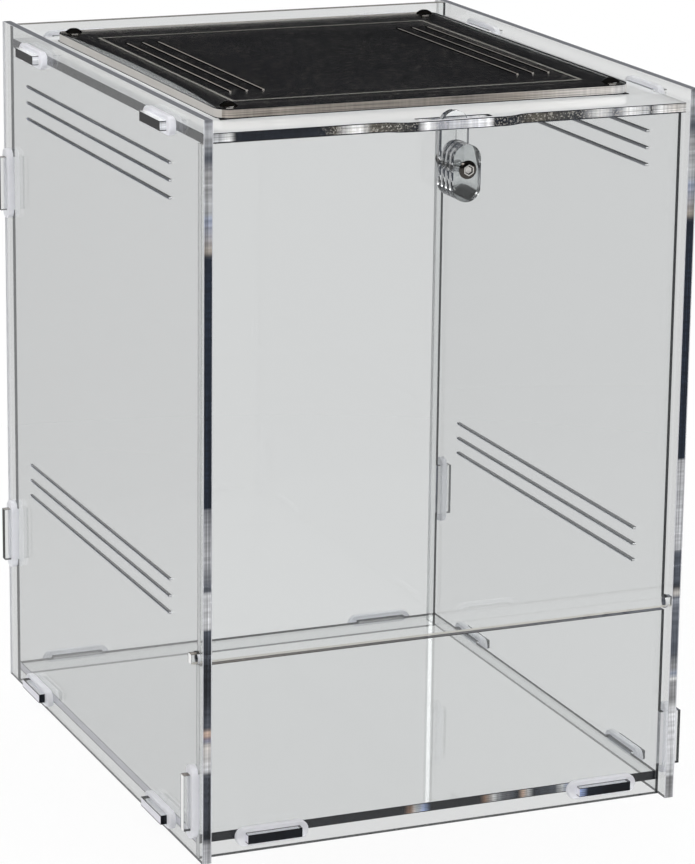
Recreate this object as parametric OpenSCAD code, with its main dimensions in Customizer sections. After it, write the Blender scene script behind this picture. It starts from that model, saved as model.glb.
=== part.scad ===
// Knock-down reptile terrarium made of clear sheets: tabs pass through slots and
// a silicone band round each tab locks it. The front door tips forward on two
// ears, and a turn latch at its top stands in a slot of the roof.
// X runs to the right, Y to the back, Z up. The origin is the middle of the
// overall footprint, on the table.

/* [Overall size] */
// Width across the outer faces of the side panels
body_w = 270; // [220:5:340]
// Depth of the side panels, front to back
body_d = 320; // [270:5:400]
// Height of the side panels, which stand on their lower edges
body_h = 385; // [320:5:470]
// Thickness of every clear sheet
sheet_t = 5; // [4:0.5:6]

/* [Where the panels sit] */
// Front face of the door and the sill, behind the side panels' front edges
front_inset = 8; // [7:0.5:14]
// Rear face of the back panel, before the side panels' rear edges
back_inset = 10; // [8:0.5:16]
// Upper face of the roof, below the side panels' tops
roof_drop = 7.5; // [7:0.5:14]
// Lower face of the floor, above the table
floor_raise = 7; // [5:0.5:14]
// Height of the fixed sill panel at the front
sill_h = 104; // [80:2:130]
// Play between two sheets that butt together
butt_play = 0.1; // [0.05:0.05:0.3]

/* [Tabs] */
// Length of each tab along its sheet
tab_len = 30; // [22:1:36]
// How far a tab stands out of the sheet that it passes through
tab_out = 7; // [5:0.5:9]
// Play round a tab in its slot
slot_play = 0.15; // [0.05:0.05:0.4]
// Middle of the roof and floor tabs, from the sill's front or the back panel's rear
tab_inset_d = 50; // [40:1:70]
// Middle of the back and front tabs, from the side panels' outer faces
tab_inset_w = 40.5; // [34:0.5:60]
// Middle of the back panel's side tabs, from the side panels' lower and upper edges
tab_inset_h = 89.5; // [70:0.5:110]
// Height of the middle of the sill's side tabs
sill_tab_z = 31; // [30:1:60]

/* [Silicone bands] */
// Rubber above and below the tab
band_wall = 2.5; // [1.5:0.1:2.8]
// Depth of a band, out from the sheet
band_depth = 3.6; // [2.5:0.1:4.5]
// Play between a band and the tab and sheet that it touches
band_play = 0.1; // [0.05:0.05:0.2]

/* [Side panel slits] */
// Width of a slit
slit_w = 1.4; // [1:0.1:3]
// Distance from one slit to the next
slit_pitch = 9; // [6:0.5:14]
// Top slit of the upper group, below the side panel's top
slit_top_drop = 30; // [26:1:50]
// Top slit of the lower group, above the table
slit_low_z = 138; // [110:1:170]
// Front ends of the slits, from the side panel's front edge
slit_front = 49; // [30:1:70]
// Rear ends of the slits, from the side panel's rear edge
slit_rear = 41; // [30:1:70]

/* [Roof vent] */
// Cover's side edges, inside the side panels' outer faces
cover_side = 21; // [15:0.5:30]
// Cover's front edge, behind the side panels' front edges
cover_front = 34.5; // [28:0.5:50]
// Cover's rear edge, before the side panels' rear edges
cover_rear = 30.5; // [24:0.5:50]
// Corner radius of the cover, and the inset of its screws
cover_corner = 8; // [7:0.5:12]
// Thickness of the mesh
mesh_t = 0.5; // [0.3:0.1:1]
// How far the mesh stops short of the cover's edge
mesh_trim = 1; // [0:0.5:2]
// Roof cut-out's sides, inside the cover's edges
vent_side = 16; // [15:0.5:30]
// Roof cut-out's front and rear, inside the cover's edges
vent_ends = 24; // [18:0.5:40]
// Corner radius of the roof cut-out
vent_corner = 6; // [3:0.5:10]
// Width of a slit in the cover
cover_slit_w = 1.6; // [1:0.1:3]
// Ends of the cover's slits, inside its front and rear edges
cover_slit_ends = 48; // [30:1:60]
// Outermost slit, inside the cover's side edge
cover_slit_side = 24.5; // [20:0.5:40]

/* [Fasteners] */
// Diameter of the screws and of the latch bolt
bolt_d = 5; // [4:0.5:5.5]
// Diameter of a dome head
head_d = 9.4; // [8.5:0.1:10.5]
// Height of a dome head
head_h = 2.8; // [2:0.1:3.5]
// Width across the flats of the hex socket in a head
socket_af = 3; // [2:0.5:4]
// Width across the flats of the cap nut
nut_af = 8; // [7:0.5:10]
// Height of the cap nut
nut_h = 10; // [9:0.5:12]
// Play of a bolt in a plain hole, on the radius
hole_play = 0.15; // [0.1:0.05:0.3]
// Play of a bolt in a threaded hole, on the radius
thread_play = 0.02; // [0.01:0.01:0.05]
// Play of the latch on its bolt, on the radius
turn_play = 0.05; // [0.02:0.01:0.1]

/* [Latch] */
// Width of the latch plate and the knob
latch_w = 15; // [12:0.5:18]
// Bolt's axis, below the underside of the roof
latch_drop = 18.2; // [17.5:0.1:24]
// Reach of the latch plate above the bolt
latch_up = 27; // [25.5:0.1:30]
// Reach of the latch plate and the knob below the bolt
latch_down = 16.6; // [14:0.1:17]
// Reach of the knob above the bolt
knob_up = 12.6; // [11:0.1:16]
// Gap behind the latch plate and under the bolt's head
latch_gap = 0.2; // [0.1:0.05:0.4]
// Play round the latch plate as it turns through the roof's slot
swing_play = 0.5; // [0.3:0.1:1]
// Thickness of the bar in front of the slot
nose_bar = 2.8; // [2:0.1:7]
// How far the nose stands out of the roof's front edge
nose_out = 4.5; // [2:0.5:8]
// Sheet left beyond each end of the slot before the nose bends back
nose_ends = 4.2; // [3:0.1:8]
// Length of the bend at each side of the nose
nose_bend = 18; // [14:1:26]

/* [Door] */
// Gap between the door's sides and the side panels
door_side_gap = 0.6; // [0.4:0.1:1.2]
// Gap between the closed door and the roof
door_top_gap = 1; // [0.6:0.1:2]
// Gap between the turning corner of the door and the sill
door_sill_gap = 0.45; // [0.3:0.05:1]
// How far an ear stands out of the side panel
ear_out = 3; // [2:0.5:5]
// Play between an ear's corners and its round hole
ear_play = 0.09; // [0.05:0.01:0.2]

/* [Hidden] */
// Panel planes. Y is counted from the side panels' front edges until PLACE
half_w = body_w / 2;
inner_w = half_w - sheet_t;
panel_w = inner_w - butt_play;
front_y0 = front_inset;
front_y1 = front_y0 + sheet_t;
back_y1 = body_d - back_inset;
back_y0 = back_y1 - sheet_t;
roof_z1 = body_h - roof_drop;
roof_z0 = roof_z1 - sheet_t;
floor_z0 = floor_raise;
floor_z1 = floor_z0 + sheet_t;

// Middles of the tabs
tab_ys = [front_y0 + tab_inset_d, back_y1 - tab_inset_d];
tab_xs = [-half_w + tab_inset_w, half_w - tab_inset_w];
tab_zs = [tab_inset_h, body_h - tab_inset_h];
front_mid = (front_y0 + front_y1) / 2;
back_mid = (back_y0 + back_y1) / 2;
roof_mid = (roof_z0 + roof_z1) / 2;
floor_mid = (floor_z0 + floor_z1) / 2;

// Roof vent
cover_w = half_w - cover_side;
cover_y0 = cover_front;
cover_y1 = body_d - cover_rear;
cover_mid = (cover_y0 + cover_y1) / 2;
cover_z0 = roof_z1 + mesh_t;
cover_z1 = cover_z0 + sheet_t;
screw_xs = [-cover_w + cover_corner, cover_w - cover_corner];
screw_ys = [cover_y0 + cover_corner, cover_y1 - cover_corner];

// Door pivot and latch
ear_r = sheet_t * sqrt(2) / 2;
pivot_z = sill_h + ear_r + door_sill_gap;
door_z0 = pivot_z - sheet_t / 2;
door_z1 = roof_z0 - door_top_gap;
door_w = inner_w - door_side_gap;
latch_z = roof_z0 - latch_drop;
latch_y1 = front_y0 - latch_gap;
latch_y0 = latch_y1 - sheet_t;
knob_layers = 3;
knob_y0 = latch_y0 - knob_layers * sheet_t;
head_y = knob_y0 - latch_gap;
slot_y0 = latch_y0 - swing_play;
slot_y1 = latch_y1 + swing_play;
slot_half = sqrt(latch_up * latch_up - latch_drop * latch_drop) + swing_play;
nose_y = slot_y0 - nose_bar;
nose_half = slot_half + nose_ends;
roof_y0 = nose_y + nose_out;

// The latch bolt's head is the foremost point of the whole
foremost = head_y - head_h;
rearmost = max(body_d, back_y1 + tab_out);
PLACE = [0, -(foremost + rearmost) / 2, 0];
through = 1;
$fn = 64;

clear_sheet = [0.86, 0.90, 0.93, 0.35];
clear_rubber = [0.82, 0.85, 0.92, 0.8];
polished_steel = [0.45, 0.44, 0.43];
black_mesh = [0.07, 0.07, 0.07];

// Box between two opposite corners
module slab(low, high) {
    translate(low) cube(high - low);
}

// Flat shape with rounded corners between two opposite corners
module rounded_2d(low, high, r) {
    translate([low[0] + r, low[1]])
        square([high[0] - low[0] - 2 * r, high[1] - low[1]]);
    translate([low[0], low[1] + r])
        square([high[0] - low[0], high[1] - low[1] - 2 * r]);
    for (x = [low[0] + r, high[0] - r], y = [low[1] + r, high[1] - r])
        translate([x, y]) circle(r = r);
}

// Stadium outline along Y from y0 to y1, centred on X = 0
module stadium_2d(w, y0, y1) {
    translate([-w / 2, y0 + w / 2]) square([w, y1 - y0 - w]);
    for (y = [y0 + w / 2, y1 - w / 2]) translate([0, y]) circle(d = w);
}

// Cutter for a slot in a side panel, for a tab centred at y and z
module side_slot(y, z, upright) {
    long = tab_len / 2 + slot_play;
    thin = sheet_t / 2 + slot_play;
    dy = upright ? thin : long;
    dz = upright ? long : thin;
    slab([inner_w - through, y - dy, z - dz], [half_w + through, y + dy, z + dz]);
}

// Cutter for a slot in the back panel or the sill, for a tab centred at x and z
module wall_slot(x, z, y0, y1) {
    long = tab_len / 2 + slot_play;
    thin = sheet_t / 2 + slot_play;
    slab([x - long, y0 - through, z - thin], [x + long, y1 + through, z + thin]);
}

// Cutter for a slit through a side panel
module side_slit(z) {
    translate([inner_w - through, 0, z]) rotate([90, 0, 90])
        linear_extrude(sheet_t + 2 * through) rotate(-90)
            stadium_2d(slit_w, slit_front, body_d - slit_rear);
}

// The right side panel, and mirrored the left one
module side_panel() {
    difference() {
        slab([inner_w, 0, 0], [half_w, body_d, body_h]);
        for (y = tab_ys, z = [roof_mid, floor_mid]) side_slot(y, z, false);
        for (z = tab_zs) side_slot(back_mid, z, true);
        side_slot(front_mid, sill_tab_z, true);
        for (i = [0:2]) {
            side_slit(body_h - slit_top_drop - i * slit_pitch);
            side_slit(slit_low_z - i * slit_pitch);
        }
        translate([inner_w - through, front_mid, pivot_z]) rotate([0, 90, 0])
            cylinder(r = ear_r + ear_play, h = sheet_t + 2 * through);
    }
}

module right_side_panel() {
    color(clear_sheet) translate(PLACE) side_panel();
}

module left_side_panel() {
    color(clear_sheet) translate(PLACE) mirror([1, 0, 0]) side_panel();
}

// Two tabs of an upright sheet that pass through the side panels at height z
module upright_side_tabs(y0, y1, z) {
    reach = half_w + tab_out;
    slab([-reach, y0, z - tab_len / 2], [reach, y1, z + tab_len / 2]);
}

// Two tabs of a level sheet that pass through the side panels at depth y
module level_side_tabs(y, z0, z1) {
    reach = half_w + tab_out;
    for (s = [-1, 1])
        slab([s > 0 ? panel_w - sheet_t : -reach, y - tab_len / 2, z0],
             [s > 0 ? reach : sheet_t - panel_w, y + tab_len / 2, z1]);
}

module back_panel() {
    color(clear_sheet) translate(PLACE) difference() {
        union() {
            slab([-panel_w, back_y0, 0], [panel_w, back_y1, body_h]);
            for (z = tab_zs) upright_side_tabs(back_y0, back_y1, z);
        }
        for (x = tab_xs, z = [roof_mid, floor_mid]) wall_slot(x, z, back_y0, back_y1);
    }
}

module front_sill() {
    color(clear_sheet) translate(PLACE) difference() {
        union() {
            slab([-panel_w, front_y0, 0], [panel_w, front_y1, sill_h]);
            upright_side_tabs(front_y0, front_y1, sill_tab_z);
        }
        for (x = tab_xs) wall_slot(x, floor_mid, front_y0, front_y1);
    }
}

module floor_panel() {
    color(clear_sheet) translate(PLACE) {
        slab([-panel_w, front_y1 + butt_play, floor_z0], [panel_w, back_y0 - butt_play, floor_z1]);
        for (y = tab_ys) level_side_tabs(y, floor_z0, floor_z1);
        for (x = tab_xs) {
            slab([x - tab_len / 2, front_y0 - tab_out, floor_z0],
                 [x + tab_len / 2, back_y1 + tab_out, floor_z1]);
        }
    }
}

// Half of the nose on the roof's front edge, bent back by two equal arcs
module nose_half_2d() {
    bend_r = (nose_bend * nose_bend + nose_out * nose_out) / (4 * nose_out);
    translate([0, nose_y]) square([nose_half, nose_out + through]);
    intersection() {
        translate([nose_half, nose_y]) square([nose_bend / 2, nose_out + through]);
        translate([nose_half, nose_y + bend_r]) circle(r = bend_r, $fn = 128);
    }
    difference() {
        translate([nose_half + nose_bend / 2, nose_y])
            square([nose_bend / 2, nose_out + through]);
        translate([nose_half + nose_bend, roof_y0 - bend_r]) circle(r = bend_r, $fn = 128);
    }
}

module roof_2d() {
    difference() {
        union() {
            translate([-panel_w, roof_y0])
                square([2 * panel_w, back_y0 - butt_play - roof_y0]);
            nose_half_2d();
            mirror([1, 0]) nose_half_2d();
        }
        rounded_2d([-slot_half, slot_y0], [slot_half, slot_y1], 1);
        rounded_2d([-cover_w + vent_side, cover_y0 + vent_ends],
                   [cover_w - vent_side, cover_y1 - vent_ends], vent_corner);
        screw_holes_2d(thread_play);
    }
}

module screw_holes_2d(play) {
    for (x = screw_xs, y = screw_ys) translate([x, y]) circle(d = bolt_d + 2 * play);
}

module roof_panel() {
    color(clear_sheet) translate(PLACE) {
        translate([0, 0, roof_z0]) linear_extrude(sheet_t) roof_2d();
        for (y = tab_ys) level_side_tabs(y, roof_z0, roof_z1);
        for (x = tab_xs)
            slab([x - tab_len / 2, back_y0 - sheet_t, roof_z0],
                 [x + tab_len / 2, back_y1 + tab_out, roof_z1]);
    }
}

module vent_mesh() {
    color(black_mesh) translate(PLACE) translate([0, 0, roof_z1])
        linear_extrude(mesh_t) difference() {
            rounded_2d([-cover_w + mesh_trim, cover_y0 + mesh_trim],
                       [cover_w - mesh_trim, cover_y1 - mesh_trim], cover_corner - mesh_trim);
            screw_holes_2d(hole_play);
        }
}

module vent_cover() {
    slit_x = cover_w - cover_slit_side;
    color(clear_sheet) translate(PLACE) translate([0, 0, cover_z0])
        linear_extrude(sheet_t) difference() {
            rounded_2d([-cover_w, cover_y0], [cover_w, cover_y1], cover_corner);
            screw_holes_2d(hole_play);
            for (s = [-1, 1], i = [0:2]) translate([s * (slit_x - i * slit_pitch), 0])
                stadium_2d(cover_slit_w, cover_y0 + cover_slit_ends, cover_y1 - cover_slit_ends);
        }
}

// Dome head with a hex socket, its flat underside on Z = 0
module dome_head() {
    rim = head_h / 4;
    dome = head_h - rim;
    dome_r = (head_d * head_d / 4 + dome * dome) / (2 * dome);
    difference() {
        intersection() {
            cylinder(d = head_d, h = head_h);
            translate([0, 0, head_h - dome_r]) sphere(r = dome_r, $fn = 96);
        }
        translate([0, 0, head_h / 2])
            cylinder(d = socket_af / cos(30), h = head_h, $fn = 6);
    }
}

module cover_screws() {
    tip = roof_z0 + butt_play;
    color(polished_steel) translate(PLACE)
        for (x = screw_xs, y = screw_ys) translate([x, y, 0]) {
            translate([0, 0, cover_z1]) dome_head();
            translate([0, 0, tip]) cylinder(d = bolt_d, h = cover_z1 - tip);
        }
}

module door_panel() {
    color(clear_sheet) translate(PLACE) difference() {
        union() {
            slab([-door_w, front_y0, door_z0], [door_w, front_y1, door_z1]);
            slab([-half_w - ear_out, front_y0, door_z0],
                 [half_w + ear_out, front_y1, door_z0 + sheet_t]);
        }
        translate([0, front_y0 - through, latch_z]) rotate([-90, 0, 0])
            cylinder(d = bolt_d + 2 * hole_play, h = sheet_t + 2 * through);
    }
}

// One sheet of the latch, from y0 back to y1, reaching up to up above the bolt
module latch_sheet(y0, y1, up) {
    color(clear_sheet) translate(PLACE) translate([0, y1, latch_z]) rotate([90, 0, 0])
        linear_extrude(y1 - y0) difference() {
            stadium_2d(latch_w, -latch_down, up);
            circle(d = bolt_d + 2 * turn_play);
        }
}

module latch_plate() {
    latch_sheet(latch_y0, latch_y1, latch_up);
}

module knob_layer(i) {
    latch_sheet(latch_y0 - i * sheet_t, latch_y0 - (i - 1) * sheet_t, knob_up);
}

module knob_layer_inner() {
    knob_layer(1);
}

module knob_layer_middle() {
    knob_layer(2);
}

module knob_layer_outer() {
    knob_layer(3);
}

module latch_bolt() {
    grip = front_y1 - head_y + nut_h * 0.6;
    color(polished_steel) translate(PLACE) translate([0, head_y, latch_z]) {
        rotate([90, 0, 0]) dome_head();
        rotate([-90, 0, 0]) cylinder(d = bolt_d, h = grip);
    }
}

module latch_cap_nut() {
    dome_r = nut_af * 0.47;
    color(polished_steel) translate(PLACE) translate([0, front_y1, latch_z])
        rotate([-90, 0, 0]) difference() {
            union() {
                cylinder(d = nut_af / cos(30), h = nut_h * 0.45, $fn = 6);
                cylinder(r = dome_r, h = nut_h - dome_r);
                translate([0, 0, nut_h - dome_r]) sphere(r = dome_r);
            }
            translate([0, 0, -through])
                cylinder(d = bolt_d + 2 * thread_play, h = nut_h * 0.7 + through);
        }
}

// Silicone ring that lies flat on Z = 0, its tab along X
module band() {
    r = sheet_t / 2 + band_wall;
    length = tab_len + 2 * band_play;
    color(clear_rubber) linear_extrude(band_depth) difference() {
        rotate(90) stadium_2d(2 * r, -tab_len / 2 - r, tab_len / 2 + r);
        square([length, sheet_t + 2 * band_play], center = true);
    }
}

// Band on the outer face of a side panel: side is -1 for left and 1 for right
module side_band(side, y, z, upright) {
    translate(PLACE) mirror([side < 0 ? 1 : 0, 0, 0]) translate([half_w + band_play, y, z])
        rotate(upright ? [0, 90, 0] : [90, 0, 90]) band();
}

// Band on the rear face of the back panel
module rear_band(x, z) {
    translate(PLACE) translate([x, back_y1 + band_play, z]) rotate([-90, 0, 0]) band();
}

// Band on the front face of the sill
module front_band(x) {
    translate(PLACE) translate([x, front_y0 - band_play, floor_mid]) rotate([90, 0, 0]) band();
}

module band_left_roof_front() side_band(-1, tab_ys[0], roof_mid, false);
module band_left_roof_rear() side_band(-1, tab_ys[1], roof_mid, false);
module band_left_floor_front() side_band(-1, tab_ys[0], floor_mid, false);
module band_left_floor_rear() side_band(-1, tab_ys[1], floor_mid, false);
module band_left_back_lower() side_band(-1, back_mid, tab_zs[0], true);
module band_left_back_upper() side_band(-1, back_mid, tab_zs[1], true);
module band_left_sill() side_band(-1, front_mid, sill_tab_z, true);
module band_right_roof_front() side_band(1, tab_ys[0], roof_mid, false);
module band_right_roof_rear() side_band(1, tab_ys[1], roof_mid, false);
module band_right_floor_front() side_band(1, tab_ys[0], floor_mid, false);
module band_right_floor_rear() side_band(1, tab_ys[1], floor_mid, false);
module band_right_back_lower() side_band(1, back_mid, tab_zs[0], true);
module band_right_back_upper() side_band(1, back_mid, tab_zs[1], true);
module band_right_sill() side_band(1, front_mid, sill_tab_z, true);
module band_back_roof_left() rear_band(tab_xs[0], roof_mid);
module band_back_roof_right() rear_band(tab_xs[1], roof_mid);
module band_back_floor_left() rear_band(tab_xs[0], floor_mid);
module band_back_floor_right() rear_band(tab_xs[1], floor_mid);
module band_front_floor_left() front_band(tab_xs[0]);
module band_front_floor_right() front_band(tab_xs[1]);

left_side_panel();
right_side_panel();
back_panel();
floor_panel();
front_sill();
roof_panel();
vent_mesh();
vent_cover();
cover_screws();
door_panel();
latch_plate();
knob_layer_inner();
knob_layer_middle();
knob_layer_outer();
latch_bolt();
latch_cap_nut();
band_left_roof_front();
band_left_roof_rear();
band_left_floor_front();
band_left_floor_rear();
band_left_back_lower();
band_left_back_upper();
band_left_sill();
band_right_roof_front();
band_right_roof_rear();
band_right_floor_front();
band_right_floor_rear();
band_right_back_lower();
band_right_back_upper();
band_right_sill();
band_back_roof_left();
band_back_roof_right();
band_back_floor_left();
band_back_floor_right();
band_front_floor_left();
band_front_floor_right();
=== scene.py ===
"""Looks of a clear knock-down reptile terrarium, built around its packed construction."""
import math

import bmesh
import bpy
from bpy.props import FloatProperty, FloatVectorProperty, PointerProperty, StringProperty
from mathutils import Matrix, Vector


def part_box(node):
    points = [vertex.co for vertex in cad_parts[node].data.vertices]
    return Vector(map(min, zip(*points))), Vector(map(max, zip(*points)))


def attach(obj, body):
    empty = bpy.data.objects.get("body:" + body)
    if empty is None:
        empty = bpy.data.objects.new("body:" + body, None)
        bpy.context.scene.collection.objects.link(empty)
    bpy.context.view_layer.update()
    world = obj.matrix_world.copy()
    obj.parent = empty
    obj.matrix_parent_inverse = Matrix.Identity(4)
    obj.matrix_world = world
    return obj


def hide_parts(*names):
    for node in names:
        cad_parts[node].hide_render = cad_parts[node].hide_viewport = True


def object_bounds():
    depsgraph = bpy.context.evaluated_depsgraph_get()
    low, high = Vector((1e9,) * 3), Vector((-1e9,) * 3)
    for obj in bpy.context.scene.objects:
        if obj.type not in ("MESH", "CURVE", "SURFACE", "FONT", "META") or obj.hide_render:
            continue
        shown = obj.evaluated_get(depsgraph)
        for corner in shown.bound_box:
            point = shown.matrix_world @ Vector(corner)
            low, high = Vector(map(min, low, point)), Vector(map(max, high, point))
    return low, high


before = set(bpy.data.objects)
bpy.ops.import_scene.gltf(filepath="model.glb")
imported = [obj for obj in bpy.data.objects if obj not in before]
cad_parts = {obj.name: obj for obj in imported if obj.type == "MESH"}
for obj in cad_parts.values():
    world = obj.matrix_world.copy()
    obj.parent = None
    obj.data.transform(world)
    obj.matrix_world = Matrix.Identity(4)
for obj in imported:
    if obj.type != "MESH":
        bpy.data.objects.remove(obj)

bl_info = {
    "name": "Reptile terrarium looks",
    "version": (1, 0, 0),
    "blender": (4, 5, 0),
    "location": "3D View > Sidebar > Terrarium",
    "description": "Finishes and fine pieces of a clear reptile terrarium",
    "category": "Object",
}

MM = 0.001
CAD_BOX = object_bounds()
X, Y, Z = range(3)
BANDS = sorted(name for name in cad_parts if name.startswith("band_"))
LATCH_SHEETS = ["latch_plate", "knob_layer_inner", "knob_layer_middle", "knob_layer_outer"]

# Fasteners: 5 mm button heads, whose sockets lie in a flat ring that is wider on the bolt.
SHANK_WIDTH = 5.0 * MM
HEAD_WIDTH = 9.4 * MM
HEAD_HEIGHT = 2.8 * MM
SCREW_SOCKET = 3.0 * MM
SCREW_RING = 0.35 * MM
BOLT_SOCKET = 3.6 * MM
BOLT_RING = 0.9 * MM
NUT_BORE = 5.04 * MM
NUT_BORE_DEPTH = 7.0 * MM
LATCH_BORE_RADIUS = 2.65 * MM

ACRYLIC_IOR = 1.49
# A face whose normal has less than this share along an axis runs along that axis.
ALONG_LIMIT = 0.7
# Along X the roof's cut edge starts to show its painted glints at the first place, fully
# from the second.
GLITTER_START = -74 * MM
GLITTER_FULL = -64 * MM
# How far inside the mesh's outline, in X and Y, the rim of the roof's cut-out shows as a
# line of painted light.
RIM_INSETS = (16 * MM, 24 * MM)
# The black flag that stands round the stage above the roof, in metres.
FLAG_RADIUS = 0.6
FLAG_DEPTH = 0.4
FLAG_HEIGHT = 0.62

# The lights and darks of a studio that cast acrylic pipes to its cut edges, as sRGB values.
PIPED = {
    "white": "FFFFFF", "pale": "E7E8EB", "ivory": "E3DED9", "silver": "CACBCF",
    "ash": "B6B8BB", "grey": "A9A9AB", "putty": "ADA59C", "lead": "8A8C92",
    "mushroom": "8E8882", "drab": "7E7872", "steel": "7A7E88", "slate": "5A5F69",
    "bronze": "58544B", "umber": "3A362F", "smoke": "32353C", "navy": "242C3A",
    "ink": "13171F", "black": "0C0D10", "cobalt": "3A4A70", "haze": "9EA7BD",
    "sky": "BCD0FF", "sand": "E4C4AC", "clay": "B08C74",
}
# The blocks that a sheet's long cut edges show: where one starts or ends in mm along the
# sheet, and which light it is.
UPPER_BLOCKS = [
    (189, "navy"), (317, "navy"), (320, "putty"), (336, "haze"), (339, "ash"),
    (358, "grey"), (366, "slate"), (378, "ash"), (385, "lead"),
]
LEFT_BLOCKS = [
    (0, "silver"), (10, "silver"), (13, "smoke"), (48, "smoke"), (51, "pale"),
    (64, "ivory"), (67, "cobalt"), (70, "sand"), (73, "slate"), (90, "smoke"),
    (110, "smoke"), (125, "slate"), (126, "pale"), (145, "pale"), (146, "slate"),
    (165, "silver"), (188, "lead"),
] + UPPER_BLOCKS
RIGHT_BLOCKS = [
    (0, "grey"), (12, "grey"), (13, "pale"), (53, "pale"), (54, "grey"), (66, "grey"),
    (68, "white"), (70, "haze"), (73, "grey"), (82, "slate"), (113, "steel"),
    (115, "ivory"), (119, "smoke"), (122, "slate"), (138, "slate"), (140, "silver"),
    (188, "silver"),
] + UPPER_BLOCKS
ROOF_BLOCKS = [
    (-135, "pale"), (-125, "ash"), (-120, "white"), (-117, "ink"), (-70, "ink"),
    (-64, "umber"), (-52, "white"), (-45, "bronze"), (-22, "ink"), (-16, "white"),
    (-10, "lead"), (12, "pale"), (18, "white"), (20, "ink"), (34, "ink"),
    (44, "bronze"), (70, "smoke"), (82, "white"), (90, "slate"), (97, "white"),
    (108, "ash"), (110, "ink"), (115, "white"), (124, "ivory"), (135, "white"),
]
FLOOR_BLOCKS = [
    (-130, "ink"), (-18, "ink"), (-14, "clay"), (-11, "white"), (-6, "sky"), (-3, "ink"),
    (26, "ink"), (29, "clay"), (34, "white"), (38, "lead"), (48, "navy"), (51, "sand"),
    (54, "white"), (57, "navy"), (70, "slate"), (74, "white"), (80, "sky"), (84, "navy"),
    (96, "ink"), (130, "ink"),
]
COVER_BLOCKS = [
    (-130, "putty"), (-60, "drab"), (-20, "drab"), (20, "mushroom"), (50, "putty"),
    (84, "ivory"), (100, "ivory"), (160, "pale"),
]
BACK_BLOCKS = [(0, "black"), (400, "black")]
FRONT_BLOCKS = [(-140, "mushroom"), (140, "steel")]
# The side panels' arrises catch the key light, where those of the other sheets stay dark.
PALE_ARRIS = "E4E5EA"
# Per sheet: its thin axis, the axis its blocks run along, the blocks, the colours of the cut
# edges at the low and the high end of that axis, those of the cut edges across X, at the rear
# and across Z when they are seen from inside the sheet, and what else differs. These edge
# colours, like the blocks, are painted light and shade that the sheets pipe to their cut edges.
SHEETS = {
    "left_side_panel": dict(thin=X, along=Z, blocks=LEFT_BLOCKS, ends=("94969A", "84868A"),
                            within=("F4F4F8", "F4F4F8", "14161A"), arris=PALE_ARRIS),
    "right_side_panel": dict(thin=X, along=Z, blocks=RIGHT_BLOCKS, ends=("94969A", "84868A"),
                             within=("F4F4F8", "FFFFFF", "14161A"), arris=PALE_ARRIS),
    "back_panel": dict(thin=Y, along=Z, blocks=BACK_BLOCKS,
                       ends=("9A9894", "9A9894"), within=("0A0C10", "F4F4F8", "0A0C10")),
    "floor_panel": dict(thin=Z, along=X, blocks=FLOOR_BLOCKS, ends=("F0EEF6", "E6E4EC"),
                        within=("14161A", "14161A", "14161A")),
    "front_sill": dict(thin=Y, along=X, blocks=FRONT_BLOCKS,
                       ends=("FFFFFF", "0C0E12"), within=("0C0E12", "F4F4F8", "14161A")),
    "roof_panel": dict(thin=Z, along=X, blocks=ROOF_BLOCKS, ends=("08090C", "D8D6D2"),
                       within=("14161A", "F4F4F8", "F4F4F8"), haze=0.7, glitter=0.42,
                       ticks=0.3),
    "vent_cover": dict(thin=Z, along=X, blocks=COVER_BLOCKS, ends=("CBC7C2", "E0D8D0"),
                       within=("1C1B1A", "E8E2DC", "E8E2DC"), ticks=0.12),
    "door_panel": dict(thin=Y, along=X, blocks=FRONT_BLOCKS,
                       ends=("FFFFFF", "0C0E12"), within=("0C0E12", "F4F4F8", "DCD8D0")),
}


class TerrariumLooks(bpy.types.PropertyGroup):
    """Sizes and colours of the finishes."""

    sheet_colour: StringProperty(
        name="Sheet", description="sRGB hex colour of the clear acrylic", default="F8F9F9")
    # The dark arris line is painted shade along each cut edge.
    arris_colour: StringProperty(
        name="Arris", description="sRGB hex colour of the dark line along a cut edge",
        default="0F1218")
    arris_width: FloatProperty(
        name="Arris width", description="Width of the dark line along a cut edge",
        default=0.45 * MM, unit="LENGTH")
    cut_clear: FloatProperty(
        name="Cut edge clarity", description="Share of light that goes through a cut edge",
        default=0.3, min=0, max=1)
    silicone_colour: StringProperty(
        name="Silicone", description="sRGB hex colour of the bands", default="FAFAFD")
    wire_colour: StringProperty(
        name="Mesh wire", description="sRGB hex colour of the mesh's coating", default="0E0E0E")
    # The steel's colour is darkened as painted shade, for the dark that the polished heads mirror.
    steel_shaded_colour: StringProperty(
        name="Steel", description="sRGB hex colour of the screws and the bolt", default="5C5854")
    band_round: FloatProperty(
        name="Band rounding", description="Radius of a band's outer edges",
        default=1.0 * MM, unit="LENGTH")
    wire_pitch: FloatProperty(
        name="Mesh pitch", description="Distance from one wire to the next",
        default=1.3 * MM, unit="LENGTH")
    wire_width: FloatProperty(
        name="Wire thickness", description="Thickness of a wire of the mesh",
        default=1.14 * MM, unit="LENGTH")
    thread_pitch: FloatProperty(
        name="Thread pitch", description="Pitch of the screws' threads",
        default=0.8 * MM, unit="LENGTH")


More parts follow.
